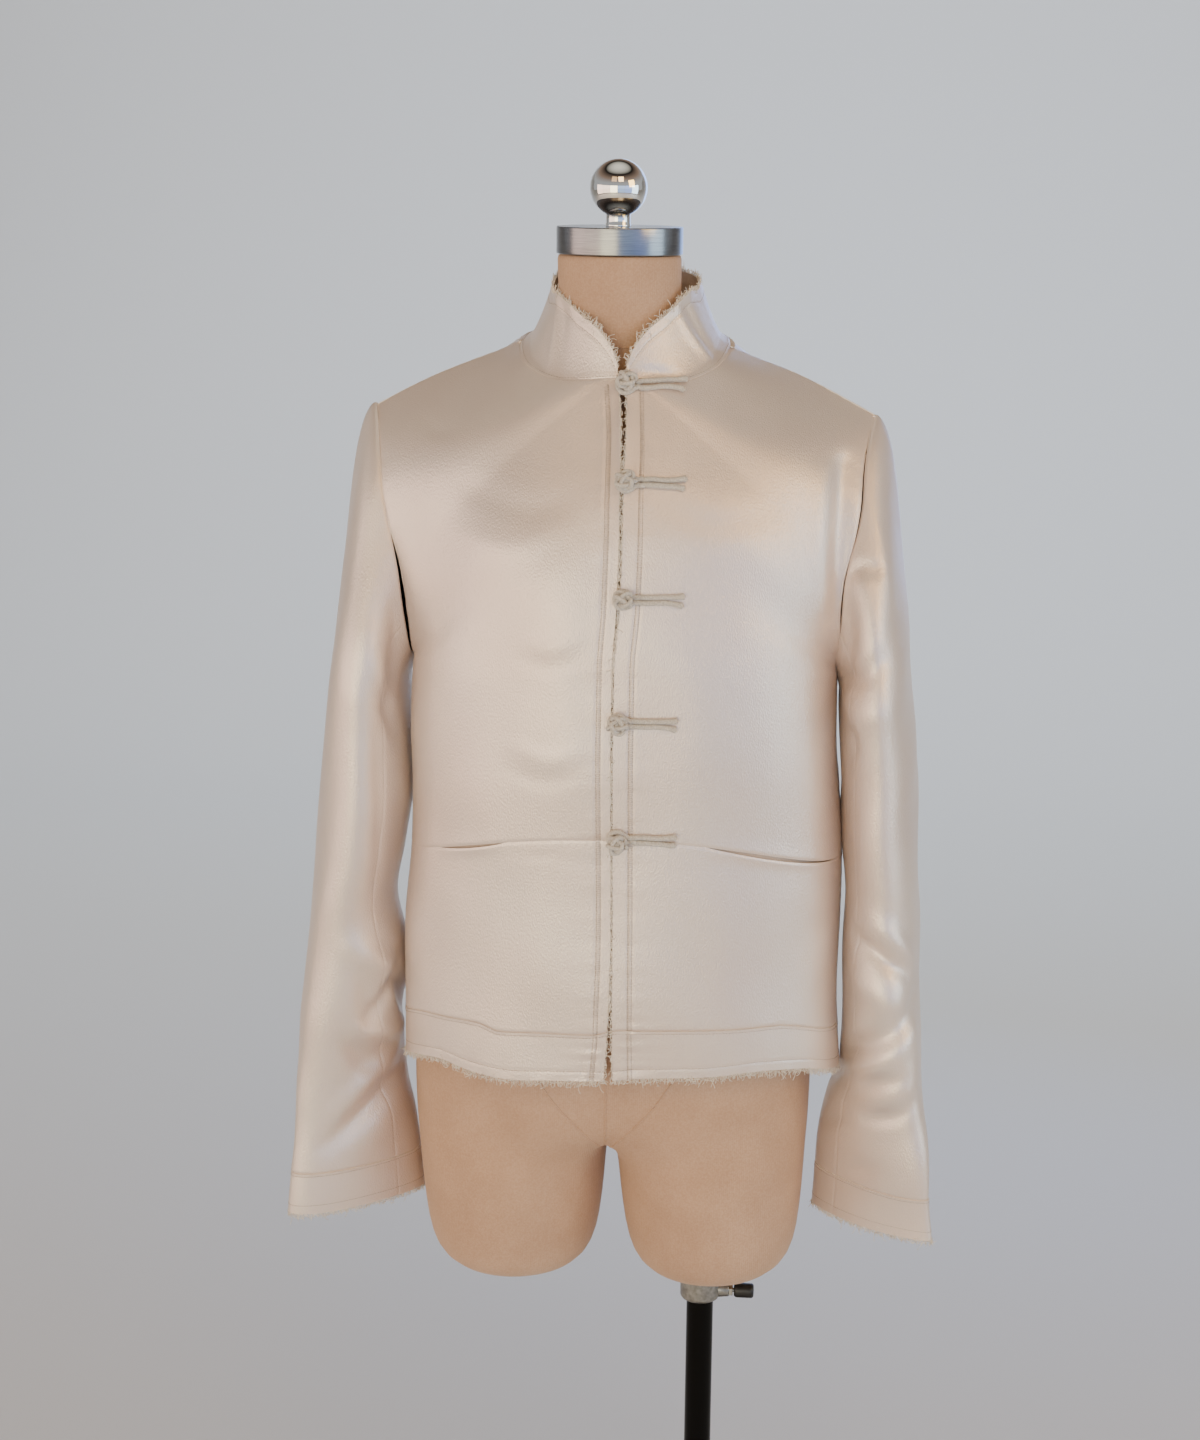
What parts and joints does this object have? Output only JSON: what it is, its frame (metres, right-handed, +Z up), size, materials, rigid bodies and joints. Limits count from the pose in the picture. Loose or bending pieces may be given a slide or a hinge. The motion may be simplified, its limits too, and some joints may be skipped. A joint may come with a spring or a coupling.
{
  "type": "tang jacket on a limbless dress form with its pole stand",
  "caption": "Cropped satin tang jacket with knot buttons, raw edges and a stand collar, on a limbless trouser form with a height-adjustable pole stand.",
  "frame": {"origin": "on the floor, under the middle of the body, inside the footprint of the round base plate", "axes": "+Z up; the front of the jacket faces -Y, so +X is the wearer's left; the pole stands to the wearer's left of the middle"},
  "size_m": [0.545, 0.38, 1.5601],
  "materials": {
    "champagne_satin": "satin",
    "satin_facing": "satin",
    "satin_cord": "satin",
    "beige_jersey": "matte",
    "cast_zinc": "satin",
    "black_powder_coat": "satin",
    "polished_chrome": "polished",
    "brushed_aluminium": "satin",
    "black_nylon": "satin"
  },
  "bodies": {
    "stand": {"stand_base": "black_powder_coat", "stand_pole": "black_powder_coat", "pole_clamp": "cast_zinc"},
    "lift": {"inner_rod": "polished_chrome"},
    "form": {"front_right_upper": "champagne_satin", "front_left_upper": "champagne_satin", "front_right_lower": "champagne_satin", "front_left_lower": "champagne_satin", "back": "champagne_satin", "hem_band_front_right": "champagne_satin", "hem_band_front_left": "champagne_satin", "hem_band_back": "champagne_satin", "sleeve_top_right": "champagne_satin", "sleeve_top_left": "champagne_satin", "sleeve_under_right": "champagne_satin", "sleeve_under_left": "champagne_satin", "cuff_top_right": "champagne_satin", "cuff_top_left": "champagne_satin", "cuff_under_right": "champagne_satin", "cuff_under_left": "champagne_satin", "collar": "champagne_satin", "pocket_facing_right": "satin_facing", "pocket_facing_left": "satin_facing", "knot_1": "satin_cord", "knot_2": "satin_cord", "knot_3": "satin_cord", "knot_4": "satin_cord", "knot_5": "satin_cord", "loop_1": "satin_cord", "loop_2": "satin_cord", "loop_3": "satin_cord", "loop_4": "satin_cord", "loop_5": "satin_cord", "dress_form": "beige_jersey", "neck_cap": "brushed_aluminium", "finial": "polished_chrome"},
    "knob": {"clamp_knob": "black_nylon"}
  },
  "joints": [
    {"name": "height_slide", "type": "slide", "parent": "stand", "child": "lift", "axis": [0, 0, 1], "range_m": [0, 0.25]},
    {"name": "form_swivel", "type": "hinge", "parent": "lift", "child": "form", "pos_m": [0.076, 0, 0.66], "axis": [0, 0, 1], "continuous": true},
    {"name": "knob_turn", "type": "hinge", "parent": "stand", "child": "knob", "pos_m": [0.1047, 0, 0.5975], "axis": [1, 0, 0], "range_deg": [0, 360]}
  ]
}
